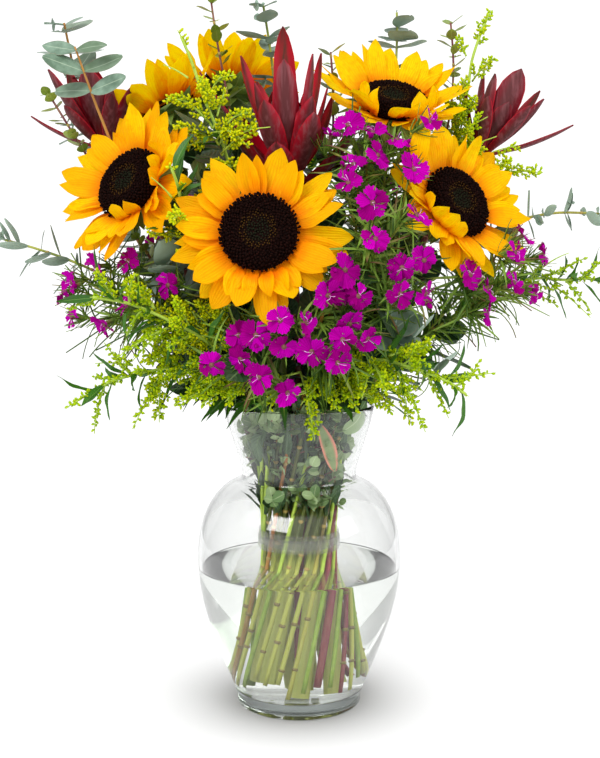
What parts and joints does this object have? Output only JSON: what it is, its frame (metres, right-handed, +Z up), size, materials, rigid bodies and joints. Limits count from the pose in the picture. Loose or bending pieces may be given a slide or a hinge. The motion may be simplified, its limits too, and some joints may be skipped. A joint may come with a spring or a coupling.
{
  "type": "wildflower bouquet in a vase",
  "caption": "Tied bouquet of sunflowers, red conebush heads, magenta pinks, goldenrod, eucalyptus and shrub sprigs standing in water in a clear footed glass urn vase.",
  "frame": {"origin": "centre of the vase's foot, on the surface that the vase stands on", "axes": "+Z up along the vase's axis, -Y towards the bouquet's front as the picture shows it, +X to the right in the picture"},
  "size_m": [0.4142, 0.292, 0.5044],
  "materials": {
    "glass": "polished",
    "water": "polished",
    "clear_tie": "gloss",
    "sunflower_green": "matte",
    "ray_yellow": "matte",
    "disc_brown": "matte",
    "bract_red": "satin",
    "goldenrod": "matte",
    "pink_magenta": "matte",
    "eucalyptus": "matte",
    "shrub_green": "satin"
  },
  "bodies": {
    "root": {"vase": "glass", "water": "water", "tie": "clear_tie", "sunflower_front_stem": "sunflower_green", "sunflower_front_disc": "disc_brown", "sunflower_front_petals": "ray_yellow", "sunflower_left_stem": "sunflower_green", "sunflower_left_disc": "disc_brown", "sunflower_left_petals": "ray_yellow", "sunflower_right_stem": "sunflower_green", "sunflower_right_disc": "disc_brown", "sunflower_right_petals": "ray_yellow", "sunflower_top_right_stem": "sunflower_green", "sunflower_top_right_disc": "disc_brown", "sunflower_top_right_petals": "ray_yellow", "sunflower_back_left_stem": "sunflower_green", "sunflower_back_left_disc": "disc_brown", "sunflower_back_left_petals": "ray_yellow", "sunflower_back_stem": "sunflower_green", "sunflower_back_disc": "disc_brown", "sunflower_back_petals": "ray_yellow", "conebush_centre": "bract_red", "conebush_left": "bract_red", "conebush_right": "bract_red", "pinks_left": "pink_magenta", "pinks_high": "pink_magenta", "pinks_middle": "pink_magenta", "pinks_right": "pink_magenta", "pinks_low_left": "pink_magenta", "pinks_low_right": "pink_magenta", "pinks_back_left": "pink_magenta", "pinks_back_right": "pink_magenta", "goldenrod_high_left": "goldenrod", "goldenrod_high_right": "goldenrod", "goldenrod_mid_left": "goldenrod", "goldenrod_low_left": "goldenrod", "goldenrod_drooping": "goldenrod", "goldenrod_low_right": "goldenrod", "goldenrod_right": "goldenrod", "goldenrod_back": "goldenrod", "eucalyptus_high_left": "eucalyptus", "eucalyptus_top": "eucalyptus", "eucalyptus_top_right": "eucalyptus", "eucalyptus_left": "eucalyptus", "eucalyptus_right": "eucalyptus", "eucalyptus_low_right": "eucalyptus", "eucalyptus_mid_left": "eucalyptus", "eucalyptus_back": "eucalyptus", "shrub_top_left": "shrub_green", "shrub_top_right": "shrub_green", "shrub_left": "shrub_green", "shrub_top_centre": "shrub_green"}
  },
  "joints": []
}
